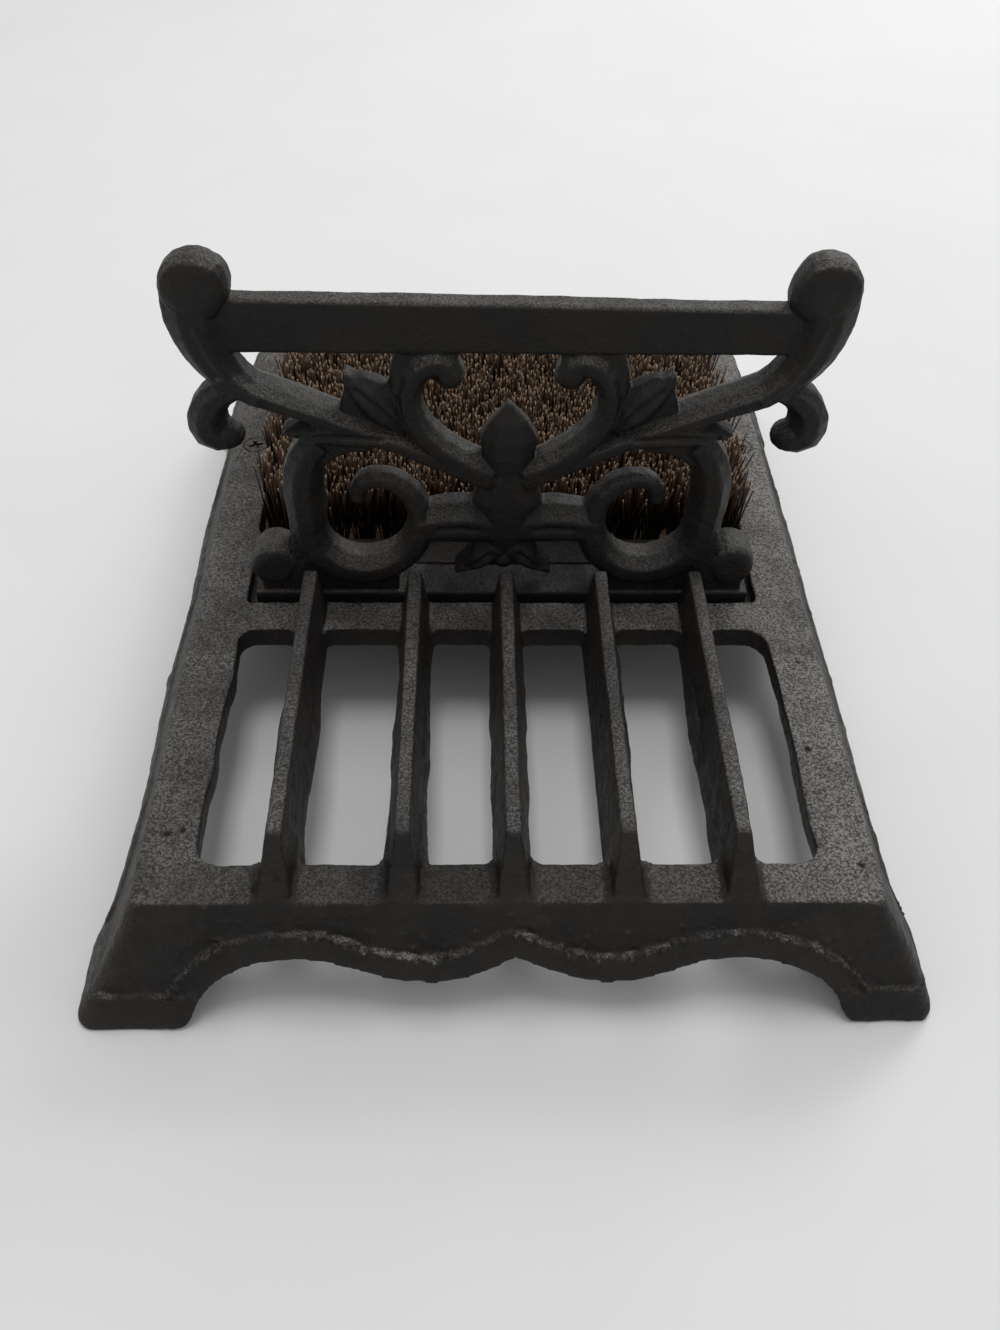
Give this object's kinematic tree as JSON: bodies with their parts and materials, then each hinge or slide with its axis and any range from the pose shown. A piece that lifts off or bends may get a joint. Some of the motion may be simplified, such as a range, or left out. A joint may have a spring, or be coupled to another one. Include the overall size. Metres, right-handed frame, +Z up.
{
  "type": "boot scraper",
  "caption": "Free-standing cast iron boot scraper: flared plinth with scraper blades, a scrolled upright with a straight scraper bar, and a stiff brush set in the rear opening.",
  "frame": {"origin": "centre of the plinth's footprint, on the floor under the feet", "axes": "+X along the scraper bar, -Y to the front with the blades, +Y to the brush, +Z up"},
  "size_m": [0.2236, 0.2962, 0.1475],
  "materials": {
    "cast_iron": "rough cast, dark brown-black",
    "brush_wood": "plain",
    "bristle": "stiff brown fibre",
    "fastener_steel": "dull"
  },
  "bodies": {
    "root": {"base_casting": "cast_iron", "scraper_upright": "cast_iron", "upright_bolts": "fastener_steel", "upright_washers": "fastener_steel", "brush_block": "brush_wood", "brush_screws": "fastener_steel", "bristle_row_1": "bristle", "bristle_row_2": "bristle", "bristle_row_3": "bristle", "bristle_row_4": "bristle", "bristle_row_5": "bristle", "bristle_row_6": "bristle", "bristle_row_7": "bristle", "bristle_row_8": "bristle", "bristle_row_9": "bristle", "bristle_row_10": "bristle"}
  },
  "joints": []
}
